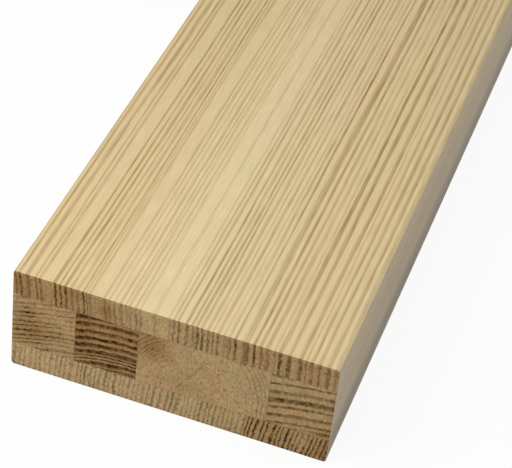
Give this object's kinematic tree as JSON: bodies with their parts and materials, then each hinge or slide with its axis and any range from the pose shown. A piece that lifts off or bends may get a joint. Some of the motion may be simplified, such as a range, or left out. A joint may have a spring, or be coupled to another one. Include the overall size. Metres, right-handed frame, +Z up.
{
  "type": "laminated timber plank",
  "caption": "Straight glued-up softwood plank: quarter-sawn face lamellas over a core of edge-glued strips, planed, with eased long edges, as stock for joinery.",
  "frame": {"origin": "middle of the underside", "axes": "+Z up through the layers, +Y along the grain, +X across the width"},
  "size_m": [0.145, 1, 0.054],
  "materials": {
    "pine_face": "planed quarter-sawn pine, unfinished",
    "pine_core": "planed pine, unfinished",
    "pine_core_dark": "planed pine with broad dark latewood, unfinished"
  },
  "bodies": {
    "root": {"top_face_lamella": "pine_face", "bottom_face_lamella": "pine_face", "left_edge_strip": "pine_core", "left_inner_strip": "pine_core_dark", "centre_strip": "pine_core", "right_edge_strip": "pine_core"}
  },
  "joints": []
}
